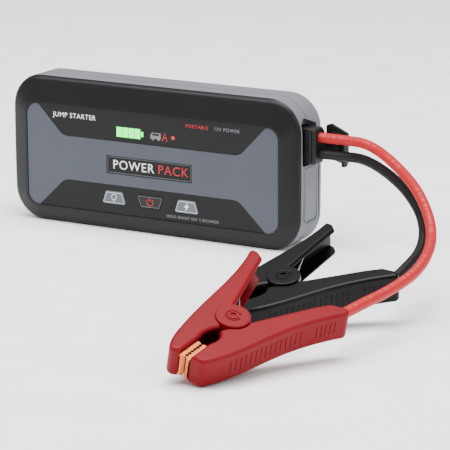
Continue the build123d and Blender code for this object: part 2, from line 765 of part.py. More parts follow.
for colour, frame in clamps.items():
    across = Axis(frame.origin, frame.z_dir)

    with BuildPart() as cable_arm_hollow:
        with BuildSketch(frame):
            add(cable_arm_hollow_outline())
        extrude(amount=arm_inside, both=True)

    with BuildPart() as cable_arm:
        with BuildSketch(frame):
            add(cable_outline)
        extrude(amount=arm_half, both=True)
        fillet(cable_arm.faces().sort_by(across)[-1].edges(), arm_edge)
        fillet(cable_arm.faces().sort_by(across)[0].edges(), arm_edge)
        add(cable_arm_hollow.part, mode=Mode.SUBTRACT)
        with BuildSketch(frame):
            Circle(disc_radius + 0.4)
        extrude(amount=arm_half + 1, both=True, mode=Mode.SUBTRACT)
        for side in (-1, 1):
            with BuildSketch(frame.offset(side * eye_low)):
                add(cable_outline)
                Circle(13, mode=Mode.INTERSECT)
                Circle(7.0)
            extrude(amount=side * (eye_high - eye_low))
            with BuildSketch(frame.offset(side * eye_low)):
                add(cable_outline)
                Circle(13, mode=Mode.INTERSECT)
                Circle(disc_radius + 0.4, mode=Mode.SUBTRACT)
            extrude(amount=side * (arm_inside + 0.4 - eye_low))
        with BuildSketch(frame):
            Circle(clamp_pin_radius)
        extrude(amount=arm_half, both=True, mode=Mode.SUBTRACT)
    save(cable_arm.part, f"{colour}_cable_arm")

    with BuildPart() as grip_arm_hollow:
        with BuildSketch(frame):
            add(grip_arm_hollow_outline())
        extrude(amount=arm_inside, both=True)

    with BuildPart() as grip_arm:
        with BuildSketch(frame):
            add(grip_outline)
        extrude(amount=arm_half, both=True)
        fillet(grip_arm.faces().sort_by(across)[-1].edges(), arm_edge)
        fillet(grip_arm.faces().sort_by(across)[0].edges(), arm_edge)
        with BuildSketch(frame):
            Circle(disc_radius)
        extrude(amount=disc_half, both=True)
        fillet(grip_arm.faces().sort_by(across)[-1].edges(), 0.7)
        fillet(grip_arm.faces().sort_by(across)[0].edges(), 0.7)
        add(grip_arm_hollow.part, mode=Mode.SUBTRACT)
        with BuildSketch(frame):
            Circle(clamp_pin_radius + 0.08)
        extrude(amount=disc_half + 1, both=True, mode=Mode.SUBTRACT)
    save(grip_arm.part, f"{colour}_grip_arm")

    with BuildPart() as clamp_pin:
        with BuildSketch(frame):
            Circle(clamp_pin_radius)
        extrude(amount=disc_half + 0.3, both=True)
        for side in (-1, 1):
            with BuildSketch(frame.offset(side * (disc_half + 0.3))):
                Circle(1.5)
            extrude(amount=-side * 0.6, mode=Mode.SUBTRACT)
    save(clamp_pin.part, f"{colour}_clamp_pin")

    wire_radius = 0.6
    coil_radius = 3.9
    with BuildPart() as clamp_spring:
        with BuildSketch(Plane(origin=frame.origin, x_dir=frame.x_dir, z_dir=-frame.y_dir)):
            with Locations(*[(coil_radius, (step - 2.5) * 1.15) for step in range(6)]):
                Circle(wire_radius)
        revolve(axis=across)
        with BuildLine(frame.offset(2.875)):
            grip_leg = Line((coil_radius, 0.6), (9.5, 26))
        with BuildSketch(Plane(origin=grip_leg @ 0, z_dir=grip_leg % 0)):
            Circle(wire_radius)
        sweep(path=grip_leg)
        with BuildLine(frame.offset(-2.875)):
            cable_leg = Line((0.6, -coil_radius), (19, -6.2))
        with BuildSketch(Plane(origin=cable_leg @ 0, z_dir=cable_leg % 0)):
            Circle(wire_radius)
        sweep(path=cable_leg)
    save(clamp_spring.part, f"{colour}_clamp_spring")

    for name, side in (("cable_jaw", -1), ("grip_jaw", 1)):
        with BuildPart() as jaw:
            with BuildSketch(frame):
                add(toothed_bar(side))
            extrude(amount=arm_inside - 0.2, both=True)
            with BuildSketch(frame):
                with BuildLine():
                    Polyline(
                        bite_point(-2, side * 2.3), bite_point(bite_length + 2, side * 2.3),
                        bite_point(bite_length + 2, side * 6), bite_point(-2, side * 6), close=True,
                    )
                make_face()
            extrude(amount=arm_inside - 1.4, both=True, mode=Mode.SUBTRACT)
        save(jaw.part, f"{colour}_{name}")

    with BuildPart() as lead_strip:
        with BuildSketch(frame):
            with BuildLine():
                Spline((38, -3.4), (22, -8.6), (5, -16.6), (-7, -21.8))
                Line((-7, -21.8), (-6.7, -21.0))
                Spline((-6.7, -21.0), (5, -15.8), (22, -7.8), (38, -2.6))
                Line((38, -2.6), (38, -3.4))
            make_face()
        extrude(amount=3, both=True)
    save(lead_strip.part, f"{colour}_lead_strip")

# ---------------------------------------------------------------- cords
cord_routes = {
    "red_cord": [
        (94.5, -1, 60.1), (110, -1, 60.1), (126.5, -8, 61), (148.5, -24, 56.6), (172, -43, 47.8),
        (191.5, -68, 35), (199, -97, 26), (198, -127, 22.5), (194, -153.5, 20.8), (190.2, -172.1, 18.0),
    ],
    "black_cord": [
        (94.5, -1, 51.5), (109.8, -1, 51.5), (122.2, -5.8, 52.6), (140, -17, 50.4), (160.6, -31.4, 44),
        (177, -48.8, 35.5), (186.4, -69.7, 28.2), (188.3, -90.9, 23.6), (186.9, -107.4, 19.3),
    ],
}


def corner_radii(points):
    """For each corner, 0.45 of its shorter run over the tangent of half its turn."""
    radii = []
    for before, corner, after in zip(points, points[1:], points[2:]):
        arriving = Vector(*corner) - Vector(*before)
        leaving = Vector(*after) - Vector(*corner)
        half_turn = radians(arriving.get_angle(leaving)) / 2
        radii.append(0.45 * min(arriving.length, leaving.length) / tan(half_turn))
    return radii


cord_ends = {}
for cord_name, route in cord_routes.items():
    radii = corner_radii(route)
    print(cord_name, "radii", [round(radius) for radius in radii])
    with BuildPart() as cord:
        with BuildLine() as path:
            FilletPolyline(*route, radius=radii)
        with BuildSketch(Plane(origin=path.line @ 0, z_dir=path.line % 0)):
            Circle(cord_diameter / 2)
        sweep()
    cord_length = sum(edge.length for edge in path.edges())
    section = pi * cord_diameter**2 / 4
    print(cord_name, "length", round(cord_length, 1), "volume ratio", cord.part.volume / section / cord_length)
    save(cord.part, cord_name)
    cord_ends[cord_name] = Plane(origin=route[-1], z_dir=Vector(*route[-1]) - Vector(*route[-2]))

# A crimped sleeve closes each cord's end inside its clamp.
for colour in clamps:
    with BuildPart() as cable_crimp:
        with BuildSketch(cord_ends[f"{colour}_cord"]):
            Circle(2.0)
        extrude(amount=2.6)
    save(cable_crimp.part, f"{colour}_cable_crimp")
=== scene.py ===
"""Looks of a jump starter pack: battery pack, plug-in lead, and a red and a black clamp.

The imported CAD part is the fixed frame.  Each class below dresses one sub-assembly, with
its own sizes in millimetres; everything handed to Blender is in metres.
"""

from __future__ import annotations

import json
import logging
import math
from dataclasses import dataclass, field
from enum import Enum

import bmesh
import bpy
from mathutils import Matrix, Vector

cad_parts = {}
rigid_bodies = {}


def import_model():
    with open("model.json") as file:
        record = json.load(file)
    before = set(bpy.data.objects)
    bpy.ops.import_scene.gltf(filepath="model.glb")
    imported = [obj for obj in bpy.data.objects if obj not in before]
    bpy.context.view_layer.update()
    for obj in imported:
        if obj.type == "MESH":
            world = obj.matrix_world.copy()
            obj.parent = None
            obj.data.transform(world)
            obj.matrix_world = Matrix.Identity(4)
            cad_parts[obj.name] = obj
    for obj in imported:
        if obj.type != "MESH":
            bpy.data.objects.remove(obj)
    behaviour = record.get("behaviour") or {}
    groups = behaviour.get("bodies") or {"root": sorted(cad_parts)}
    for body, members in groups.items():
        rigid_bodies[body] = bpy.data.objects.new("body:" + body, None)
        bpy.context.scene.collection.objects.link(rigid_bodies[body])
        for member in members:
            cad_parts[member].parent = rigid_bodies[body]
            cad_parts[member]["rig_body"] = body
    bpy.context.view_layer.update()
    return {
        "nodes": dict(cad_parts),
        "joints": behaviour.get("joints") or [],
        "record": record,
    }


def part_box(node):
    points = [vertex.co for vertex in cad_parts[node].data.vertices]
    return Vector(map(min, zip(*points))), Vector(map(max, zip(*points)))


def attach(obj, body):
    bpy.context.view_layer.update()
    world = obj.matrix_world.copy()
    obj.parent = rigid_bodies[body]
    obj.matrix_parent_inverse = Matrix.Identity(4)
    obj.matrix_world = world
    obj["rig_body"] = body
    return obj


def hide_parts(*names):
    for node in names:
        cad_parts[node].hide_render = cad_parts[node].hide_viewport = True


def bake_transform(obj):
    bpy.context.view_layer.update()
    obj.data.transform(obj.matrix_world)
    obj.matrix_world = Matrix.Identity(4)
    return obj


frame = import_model()

logging.basicConfig(level=logging.INFO, format="%(message)s")
log = logging.getLogger("jump_starter")

MM = 0.001
Point = tuple[float, float, float]
Flat = tuple[float, float]


# ---------------------------------------------------------------- colours and finishes
def linear(colour: str) -> tuple[float, float, float, float]:
    """Turn an sRGB hex colour into Blender's linear red, green, blue and alpha.

    Args:
        colour: Six hex digits after a hash.

    Returns:
        The four linear values, with alpha 1.
    """
    values = []
    for start in (1, 3, 5):
        share = int(colour[start : start + 2], 16) / 255
        values.append(share / 12.92 if share <= 0.04045 else ((share + 0.055) / 1.055) ** 2.4)
    return (values[0], values[1], values[2], 1.0)


class Grain(Enum):
    """What the fine relief of a surface is like."""

    MOULDED = "fine even grain of a moulded plastic"
    BRUSHED = "long fine scratches along the piece"
    RUBBERY = "soft uneven skin"
    SMOOTH = "no relief that can be seen"


@dataclass(frozen=True)
class Finish:
    """One real finish, with its pattern sizes in millimetres."""

    name: str
    colour: str
    roughness: float = 0.5
    metallic: float = 0.0
    grain: Grain = Grain.MOULDED
    grain_size: float = 0.35
    grain_depth: float = 0.01
    tint: float = 0.05
    patch_size: float = 30.0
    coat: float = 0.0
    glow: float = 0.0
    see_through: float = 0.0
    sheen: float = 0.0
    shine: float = 0.35


# The case's light shell is ABS with a fine spark-eroded grain.
SHELL = Finish("grey_abs", "#67696f", roughness=0.55, grain_depth=0.012)
# The dark frame round the face is smooth satin ABS.
BEZEL = Finish(
    "charcoal_satin_abs", "#0d0d0f", roughness=0.4, grain_size=0.3, grain_depth=0.004, shine=0.24,
)
# The face plate is a polycarbonate sheet printed from behind.
PANEL = Finish("slate_printed_sheet", "#40444e", roughness=0.42, grain_size=0.25, grain_depth=0.006)
# The window, keypad and badge are darker sheets of the same kind.
DARK_SHEET = Finish(
    "charcoal_printed_sheet", "#0e0e0f", roughness=0.42, grain_size=0.25, grain_depth=0.005, shine=0.22,
)
# The charge gauge is a clear green light pipe, lit.
GAUGE = Finish("lit_green_light_pipe", "#22d450", roughness=0.3, grain=Grain.SMOOTH, glow=4.5)
STATUS = Finish("red_light_pipe", "#b3202b", roughness=0.3, grain=Grain.SMOOTH, glow=0.25)
# Keys are silicone with a satin skin.
GREY_KEY = Finish("grey_silicone_key", "#5c6069", roughness=0.5, grain=Grain.RUBBERY, grain_depth=0.006)
DARK_KEY = Finish(
    "charcoal_silicone_key", "#0e0e10", roughness=0.5, grain=Grain.RUBBERY, grain_depth=0.006,
)
SCREW = Finish("zinc_plated_steel", "#a9abb0", roughness=0.32, metallic=1.0, grain=Grain.BRUSHED)
BOARD = Finish("green_solder_mask", "#1f6b3d", roughness=0.4, coat=0.3)
CHIP = Finish("moulded_epoxy", "#262628", roughness=0.6)
FOIL = Finish(
    "pouch_cell_foil", "#b9bbc0", roughness=0.34, metallic=1.0, grain=Grain.RUBBERY, grain_depth=0.03,
)
FOAM = Finish("closed_cell_foam", "#2b2b2c", roughness=0.9, grain_size=0.8, grain_depth=0.08)
# The jaws and bars are copper-plated steel strip.
COPPER = Finish(
    "copper_plated_strip", "#b8683c", roughness=0.34, metallic=1.0, grain=Grain.BRUSHED, tint=0.1,
)
GOLD = Finish("gold_plated_contact", "#d9b25c", roughness=0.25, metallic=1.0, grain=Grain.BRUSHED)
NYLON = Finish("black_glass_filled_nylon", "#0b0b0c", roughness=0.5, grain_depth=0.01)
GREY_RUBBER = Finish("grey_tpe_rubber", "#6f7177", roughness=0.62, grain=Grain.RUBBERY, grain_depth=0.01)
BLACK_RUBBER = Finish(
    "black_tpe_rubber", "#0b0b0c", roughness=0.58, grain=Grain.RUBBERY, grain_depth=0.01,
)
STAMPED = Finish("stamped_stainless", "#b4b6ba", roughness=0.28, metallic=1.0, grain=Grain.BRUSHED)
LENS = Finish("clear_polycarbonate_lens", "#f2f4f6", roughness=0.08, grain=Grain.SMOOTH, see_through=0.85)
LAMP = Finish("white_reflector_and_chip", "#f1efdf", roughness=0.3, grain=Grain.SMOOTH)
# The clamps are glossy impact-modified plastic.
RED_PLASTIC = Finish(
    "red_impact_plastic", "#720410", roughness=0.4, grain_size=0.5, grain_depth=0.006, shine=0.13,
)
BLACK_PLASTIC = Finish(
    "black_impact_plastic", "#050506", roughness=0.34, grain_size=0.5, grain_depth=0.008, shine=0.16,
)
SPRING = Finish("bright_spring_wire", "#b9bbbe", roughness=0.25, metallic=1.0, grain=Grain.BRUSHED)
RED_SILICONE = Finish(
    "red_silicone_cable", "#a8161c", roughness=0.5, grain=Grain.RUBBERY, grain_depth=0.008, shine=0.25,
)
BLACK_SILICONE = Finish(
    "black_silicone_cable", "#0b0b0c", roughness=0.5, grain=Grain.RUBBERY, grain_depth=0.008, shine=0.25,
)
WHITE_INK = Finish("white_print", "#e4e5e8", roughness=0.45, grain=Grain.SMOOTH)
RED_INK = Finish("red_print", "#b0101a", roughness=0.45, grain=Grain.SMOOTH)
GREY_INK = Finish("grey_print", "#6d7077", roughness=0.45, grain=Grain.SMOOTH)
# A light grey bead along the face plate's edge: a painted highlight on its bevel.
PANEL_EDGE_HIGHLIGHT = Finish("light_bevelled_rim", "#5f6167", roughness=0.34, grain=Grain.SMOOTH, coat=0.2)
# A grey bead: a painted highlight along the badge's edge, and painted shade in the port cover's groove.
EDGE_HIGHLIGHT_AND_GROOVE_SHADE = Finish("grey_bevelled_rim", "#3d4046", roughness=0.34, grain=Grain.SMOOTH, coat=0.2)
FLOOR = Finish("matt_white_table", "#ffffff", roughness=0.75, grain=Grain.SMOOTH)

SLOT_FINISHES: dict[str, Finish] = {
    "shell": SHELL, "bezel": BEZEL, "panel": PANEL, "dark_plate": DARK_SHEET,
    "light_bar": GAUGE, "red_light": STATUS, "grey_key": GREY_KEY, "dark_key": DARK_KEY,
    "screw_steel": SCREW, "board": BOARD, "chip": CHIP, "cell_foil": FOIL, "foam": FOAM,
    "copper": COPPER, "contact_gold": GOLD, "socket_plastic": NYLON, "grey_rubber": GREY_RUBBER,
    "black_rubber": BLACK_RUBBER, "port_steel": STAMPED, "lens": LENS, "lamp_white": LAMP,
    "red_plastic": RED_PLASTIC, "black_plastic": BLACK_PLASTIC, "spring_steel": SPRING,
    "red_silicone": RED_SILICONE, "black_silicone": BLACK_SILICONE,
}


def add_node(tree: bpy.types.NodeTree, kind: str, **values: object) -> bpy.types.Node:
    """Add one node and set its properties and unlinked inputs.

    Args:
        tree: The node tree to add to.
        kind: The node's type name.
        values: Node properties by name; names in capitals are input sockets, with an
            underscore for each space.  Names in small letters are set first.

    Returns:
        The new node.
    """
    node = tree.nodes.new(kind)
    for name, value in values.items():
        if name[0].islower():
            setattr(node, name, value)
    for name, value in values.items():
        if name[0].isupper():
            node.inputs[name.replace("_", " ")].default_value = value
    return node


def shaded(colour: str, share: float) -> tuple[float, float, float, float]:
    """A linear colour made darker or lighter by a share."""
    red, green, blue, alpha = linear(colour)
    return (red * (1 + share), green * (1 + share), blue * (1 + share), alpha)


def add_relief(tree: bpy.types.NodeTree, finish: Finish, place: bpy.types.NodeSocket) -> bpy.types.NodeSocket:
    """Add the fine relief of a finish.

    Args:
        tree: The material's node tree.
        finish: The finish, for the relief's kind and size.
        place: The coordinates, in metres.

    Returns:
        The socket that carries the bumped normal.
    """
    stretch = (1.0, 1.0, 1.0)
    detail = 2.0
    if finish.grain is Grain.BRUSHED:
        stretch = (0.06, 1.0, 1.0)
    if finish.grain is Grain.RUBBERY:
        detail = 4.0
    turn = add_node(tree, "ShaderNodeMapping", Scale=stretch)
    noise = add_node(tree, "ShaderNodeTexNoise", Scale=1 / (finish.grain_size * MM), Detail=detail)
    bump = add_node(tree, "ShaderNodeBump", Distance=finish.grain_depth * MM, Strength=1.0)
    tree.links.new(place, turn.inputs["Vector"])
    tree.links.new(turn.outputs["Vector"], noise.inputs["Vector"])
    tree.links.new(noise.outputs[0], bump.inputs["Height"])
    return bump.outputs["Normal"]


def make_material(finish: Finish) -> bpy.types.Material:
    """Build the procedural material of a finish once, and give it back each time.

    Args:
        finish: The finish to build.

    Returns:
        The material, on Object coordinates.
    """
    made = bpy.data.materials.get(finish.name)
    if made:
        return made
    made = bpy.data.materials.new(finish.name)
    made.use_nodes = True
    tree = made.node_tree
    tree.nodes.clear()
    output = add_node(tree, "ShaderNodeOutputMaterial")
    shader = add_node(tree, "ShaderNodeBsdfPrincipled", Metallic=finish.metallic)
    tree.links.new(shader.outputs[0], output.inputs["Surface"])
    shader.inputs["Coat Weight"].default_value = finish.coat
    shader.inputs["Specular IOR Level"].default_value = 0.5 if finish.metallic else finish.shine
    shader.inputs["Sheen Weight"].default_value = finish.sheen
    shader.inputs["Transmission Weight"].default_value = finish.see_through
    if finish.glow:
        shader.inputs["Emission Color"].default_value = linear(finish.colour)
        shader.inputs["Emission Strength"].default_value = finish.glow

    place = add_node(tree, "ShaderNodeTexCoord").outputs["Object"]
    patches = add_node(tree, "ShaderNodeTexNoise", Scale=1 / (finish.patch_size * MM), Detail=3.0)
    tree.links.new(place, patches.inputs["Vector"])
    colours = add_node(tree, "ShaderNodeValToRGB")
    colours.color_ramp.elements[0].position = 0.3
    colours.color_ramp.elements[1].position = 0.7
    colours.color_ramp.elements[0].color = shaded(finish.colour, -finish.tint)
    colours.color_ramp.elements[1].color = shaded(finish.colour, finish.tint)
    tree.links.new(patches.outputs[0], colours.inputs[0])
    tree.links.new(colours.outputs[0], shader.inputs["Base Color"])
    spread = 0.04
    polish = add_node(
        tree, "ShaderNodeMapRange", To_Min=finish.roughness - spread, To_Max=finish.roughness + spread
    )
    tree.links.new(patches.outputs[0], polish.inputs["Value"])
    tree.links.new(polish.outputs[0], shader.inputs["Roughness"])
    if finish.grain is not Grain.SMOOTH:
        tree.links.new(add_relief(tree, finish, place), shader.inputs["Normal"])
    return made


# ---------------------------------------------------------------- making pieces
def new_piece(name: str, mesh: bpy.types.Mesh, finish: Finish, body: str) -> bpy.types.Object:
    """Make a finished piece that rides on a CAD body.

    Args:
        name: The piece's name.
        mesh: Its mesh, already in place.
        finish: Its finish, which replaces any material on the mesh.
        body: The CAD body that it moves with, or nothing for a piece that rides on no body.

    Returns:
        The new object, at the origin.
    """
    mesh.materials.clear()
    mesh.materials.append(make_material(finish))
    piece = bpy.data.objects.new(name, mesh)
    bpy.context.scene.collection.objects.link(piece)
    if body:
        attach(piece, body)
    log.info("%s: %d faces, %s", name, len(mesh.polygons), finish.name)
    return piece


def smooth(mesh: bpy.types.Mesh, crease: float = 32.0) -> None:
    """Shade a mesh smooth, except across edges sharper than the crease in degrees."""
    mesh.shade_smooth()
    mesh.set_sharp_from_angle(angle=math.radians(crease))


def baked(source: bpy.types.Object) -> bpy.types.Mesh:
    """Turn an object with its modifiers into a plain mesh, and remove the object."""
    graph = bpy.context.evaluated_depsgraph_get()
    mesh = bpy.data.meshes.new_from_object(source.evaluated_get(graph))
    bpy.data.objects.remove(source)
    return mesh


def refined(node: str, finish: Finish, crease: float = 32.0, rides: bool = True) -> bpy.types.Object:
    """Stand a merged and smoothly shaded copy in for a CAD node.

    Args:
        node: The CAD node's name.
        finish: The copy's finish.
        crease: Edges sharper than this many degrees stay sharp.
        rides: Whether the copy moves with the node's body; if not, it rides on no body.

    Returns:
        The copy, which replaces the node.
    """
    source = frame["nodes"][node]
    mesh = source.data.copy()
    if "custom_normal" in mesh.attributes:
        mesh.attributes.remove(mesh.attributes["custom_normal"])
    shape = bmesh.new()
    shape.from_mesh(mesh)
    bmesh.ops.remove_doubles(shape, verts=shape.verts, dist=1e-6)
    shape.to_mesh(mesh)
    shape.free()
    smooth(mesh, crease)
    body = source["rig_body"] if rides else ""
    piece = new_piece(f"{node}_skin", mesh, finish, body)
    even = piece.modifiers.new("even_shading", "WEIGHTED_NORMAL")
    even.keep_sharp = True
    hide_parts(node)
    return piece


class TreeInput(Enum):
    """The kinds of input that the shape trees have."""

    NUMBER = "NodeSocketFloat"
    COUNT = "NodeSocketInt"
    VECTOR = "NodeSocketVector"
    OBJECT = "NodeSocketObject"
    MATERIAL = "NodeSocketMaterial"


def new_tree(name: str, inputs: dict[str, TreeInput]) -> tuple[bpy.types.NodeTree, bpy.types.Node]:
    """Start a Geometry Nodes tree.

    Args:
        name: The tree's name.
        inputs: Each input's name and kind.

    Returns:
        The tree and its group input node.
    """
    tree = bpy.data.node_groups.new(name, "GeometryNodeTree")
    for label, kind in inputs.items():
        tree.interface.new_socket(name=label, in_out="INPUT", socket_type=kind.value)
    tree.interface.new_socket(name="Shape", in_out="OUTPUT", socket_type="NodeSocketGeometry")
    return tree, tree.nodes.new("NodeGroupInput")


def end_tree(tree: bpy.types.NodeTree, start: bpy.types.Node, shape: bpy.types.NodeSocket) -> None:
    """Finish a tree: instances made real, the material set, and the shape put out."""
    real = add_node(tree, "GeometryNodeRealizeInstances")
    dress = add_node(tree, "GeometryNodeSetMaterial")
    output = tree.nodes.new("NodeGroupOutput")
    tree.links.new(shape, real.inputs[0])
    tree.links.new(real.outputs[0], dress.inputs["Geometry"])
    tree.links.new(start.outputs["Finish"], dress.inputs["Material"])
    tree.links.new(dress.outputs[0], output.inputs[0])


def run_tree(tree: bpy.types.NodeTree, inputs: dict[str, object]) -> bpy.types.Mesh:
    """Run a shape tree and give its result as a plain mesh.

    Args:
        tree: The Geometry Nodes tree.
        inputs: The value of each named input.

    Returns:
        The mesh that the tree makes.
    """
    carrier = bpy.data.objects.new("carrier", bpy.data.meshes.new("carrier"))
    bpy.context.scene.collection.objects.link(carrier)
    modifier = carrier.modifiers.new("shape", "NODES")
    modifier.node_group = tree
    for item in tree.interface.items_tree:
        if item.item_type == "SOCKET" and item.in_out == "INPUT":
            modifier[item.identifier] = inputs[item.name]
    return baked(carrier)


def surface_ribs_tree() -> bpy.types.NodeTree:
    """Build the tree that drops a row of soft-edged ribs onto a surface.

    Returns:
        The tree, with named inputs for the row, the rib and the surface.
    """
    tree, start = new_tree(
        "surface_ribs",
        {
            "From": TreeInput.VECTOR, "To": TreeInput.VECTOR, "Count": TreeInput.COUNT,
            "Towards": TreeInput.VECTOR, "Reach": TreeInput.NUMBER, "Size": TreeInput.VECTOR,
            "Surface": TreeInput.OBJECT, "Finish": TreeInput.MATERIAL,
        },
    )
    link = tree.links.new
    row = add_node(tree, "GeometryNodeMeshLine", mode="END_POINTS")
    link(start.outputs["Count"], row.inputs["Count"])
    link(start.outputs["From"], row.inputs["Start Location"])
    link(start.outputs["To"], row.inputs[3])
    surface = add_node(tree, "GeometryNodeObjectInfo", transform_space="ORIGINAL")
    link(start.outputs["Surface"], surface.inputs["Object"])
    cast = add_node(tree, "GeometryNodeRaycast")
    link(surface.outputs["Geometry"], cast.inputs["Target Geometry"])
    link(start.outputs["Towards"], cast.inputs["Ray Direction"])
    link(start.outputs["Reach"], cast.inputs["Ray Length"])
    kept = add_node(tree, "GeometryNodeCaptureAttribute")
    kept.capture_items.new("VECTOR", "Spot")
    kept.capture_items.new("VECTOR", "Facing")
    link(row.outputs["Mesh"], kept.inputs["Geometry"])
    link(cast.outputs["Hit Position"], kept.inputs["Spot"])
    link(cast.outputs["Hit Normal"], kept.inputs["Facing"])
    settle = add_node(tree, "GeometryNodeSetPosition")
    link(kept.outputs["Geometry"], settle.inputs["Geometry"])
    link(kept.outputs["Spot"], settle.inputs["Position"])
    along = add_node(tree, "ShaderNodeVectorMath", operation="SUBTRACT")
    link(start.outputs["To"], along.inputs[0])
    link(start.outputs["From"], along.inputs[1])
    turn = add_node(tree, "FunctionNodeAxesToRotation", primary_axis="Z", secondary_axis="X")
    link(kept.outputs["Facing"], turn.inputs[0])
    link(along.outputs[0], turn.inputs[1])
    block = add_node(tree, "GeometryNodeMeshCube")
    link(start.outputs["Size"], block.inputs["Size"])
    soften = add_node(tree, "GeometryNodeSubdivisionSurface", Level=2, Edge_Crease=0.75)
    link(block.outputs["Mesh"], soften.inputs["Mesh"])
    spread = add_node(tree, "GeometryNodeInstanceOnPoints")
    link(settle.outputs["Geometry"], spread.inputs["Points"])
    link(soften.outputs["Mesh"], spread.inputs["Instance"])
    link(turn.outputs[0], spread.inputs["Rotation"])
    end_tree(tree, start, spread.outputs[0])
    return tree


def frame_bead_tree() -> bpy.types.NodeTree:
    """Build the tree for a thin round bead that follows a rounded rectangle.

    Returns:
        The tree, with named inputs for the rectangle, its corners and the bead.
    """
    tree, start = new_tree(
        "frame_bead",
        {
            "Width": TreeInput.NUMBER, "Height": TreeInput.NUMBER, "Corner": TreeInput.NUMBER,
            "Bead": TreeInput.NUMBER, "Centre": TreeInput.VECTOR, "Finish": TreeInput.MATERIAL,
        },
    )
    link = tree.links.new
    loop = add_node(tree, "GeometryNodeCurvePrimitiveQuadrilateral")
    link(start.outputs["Width"], loop.inputs["Width"])
    link(start.outputs["Height"], loop.inputs["Height"])
    rounded = add_node(tree, "GeometryNodeFilletCurve", mode="POLY", Count=10)
    link(loop.outputs["Curve"], rounded.inputs["Curve"])
    link(start.outputs["Corner"], rounded.inputs["Radius"])
    section = add_node(tree, "GeometryNodeCurvePrimitiveCircle", Resolution=10)
    link(start.outputs["Bead"], section.inputs["Radius"])
    tube = add_node(tree, "GeometryNodeCurveToMesh")
    link(rounded.outputs["Curve"], tube.inputs["Curve"])
    link(section.outputs["Curve"], tube.inputs["Profile Curve"])
    stand = add_node(tree, "GeometryNodeTransform", Rotation=(math.pi / 2, 0, 0))
    link(tube.outputs["Mesh"], stand.inputs["Geometry"])
    link(start.outputs["Centre"], stand.inputs["Translation"])
    end_tree(tree, start, stand.outputs["Geometry"])
    return tree


def open_ring_tree() -> bpy.types.NodeTree:
    """Build the tree for a raised open ring, such as the one round a clamp's pivot.

    Returns:
        The tree, with named inputs for the ring, its bead and its plane.
    """
    tree, start = new_tree(
        "open_ring",
        {
            "Radius": TreeInput.NUMBER, "Bead": TreeInput.NUMBER, "Opening": TreeInput.NUMBER,
            "Centre": TreeInput.VECTOR, "Facing": TreeInput.VECTOR, "Along": TreeInput.VECTOR,
            "Finish": TreeInput.MATERIAL,
        },
    )
    link = tree.links.new
    sweep = add_node(tree, "ShaderNodeMath", operation="SUBTRACT")
    sweep.inputs[0].default_value = 2 * math.pi
    link(start.outputs["Opening"], sweep.inputs[1])
    ring = add_node(tree, "GeometryNodeCurveArc", Resolution=40)
    link(start.outputs["Radius"], ring.inputs["Radius"])
    link(sweep.outputs[0], ring.inputs["Sweep Angle"])
    section = add_node(tree, "GeometryNodeCurvePrimitiveCircle", Resolution=10)
    link(start.outputs["Bead"], section.inputs["Radius"])
    tube = add_node(tree, "GeometryNodeCurveToMesh", Fill_Caps=True)
    link(ring.outputs["Curve"], tube.inputs["Curve"])
    link(section.outputs["Curve"], tube.inputs["Profile Curve"])
    lie = add_node(tree, "FunctionNodeAxesToRotation", primary_axis="Z", secondary_axis="X")
    link(start.outputs["Facing"], lie.inputs[0])
    link(start.outputs["Along"], lie.inputs[1])
    place = add_node(tree, "GeometryNodeTransform")
    link(tube.outputs["Mesh"], place.inputs["Geometry"])
    link(start.outputs["Centre"], place.inputs["Translation"])
    link(lie.outputs[0], place.inputs["Rotation"])
    end_tree(tree, start, place.outputs["Geometry"])
    return tree


def on_face(mesh: bpy.types.Mesh, centre: Flat, depth: float) -> bpy.types.Mesh:
    """Stand a flat drawing up on the pack's face.

    Args:
        mesh: A drawing in millimetres, in X and Y, with its relief along Z.
        centre: Where its origin goes, in X and Z.
        depth: The Y of the surface that it lies on.

    Returns:
        The same mesh, in metres and in place.
    """
    upright = Matrix.Rotation(math.pi / 2, 4, "X")
    place = Matrix.Translation((centre[0], depth, centre[1]))
    mesh.transform(Matrix.Scale(MM, 4) @ place @ upright)
    return mesh


def lettering(words: str, height: float) -> bpy.types.Mesh:
    """Make raised print of some words.

    Args:
        words: The words.
        height: The size of the capitals in millimetres.

    Returns:
        The mesh, centred on its origin.
    """
    text = bpy.data.curves.new("words", "FONT")
    text.body = words
    text.size = height / 0.72
    text.align_x = "CENTER"
    text.align_y = "CENTER"
    text.extrude = 0.03
    text.offset = 0.004 * height
    text.space_character = 1.12
    text.resolution_u = 3
    carrier = bpy.data.objects.new("words", text)
    bpy.context.scene.collection.objects.link(carrier)
    return baked(carrier)


def strokes(lines: list[list[Flat]], width: float, relief: float = 0.05) -> bpy.types.Mesh:
    """Make raised print of some lines.

    Args:
        lines: Each line's points in millimetres.
        width: The lines' width.
        relief: How far they stand proud.

    Returns:
        The mesh, with round-ended closed strokes.
    """
    curve = bpy.data.curves.new("strokes", "CURVE")
    curve.dimensions = "3D"
    curve.bevel_depth = width / 2
    curve.bevel_resolution = 2
    curve.use_fill_caps = True
    for line in lines:
        spline = curve.splines.new("POLY")
        spline.points.add(len(line) - 1)
        for spot, (across, up) in zip(spline.points, line):
            spot.co = (across, up, 0, 1)
    carrier = bpy.data.objects.new("strokes", curve)
    bpy.context.scene.collection.objects.link(carrier)
    mesh = baked(carrier)
    mesh.transform(Matrix.Diagonal((1, 1, 2 * relief / width, 1)))
    return mesh


def slab(outline: list[Flat], relief: float = 0.04) -> bpy.types.Mesh:
    """Make a thin flat solid with the given outline, in millimetres."""
    shape = bmesh.new()
    low = [shape.verts.new((across, up, -relief)) for across, up in outline]
    high = [shape.verts.new((across, up, relief)) for across, up in outline]
    shape.faces.new(reversed(low))
    shape.faces.new(high)
    count = len(outline)
    for here in range(count):
        after = (here + 1) % count
        shape.faces.new((low[here], low[after], high[after], high[here]))
    bmesh.ops.recalc_face_normals(shape, faces=shape.faces)
    mesh = bpy.data.meshes.new("slab")
    shape.to_mesh(mesh)
    shape.free()
    return mesh


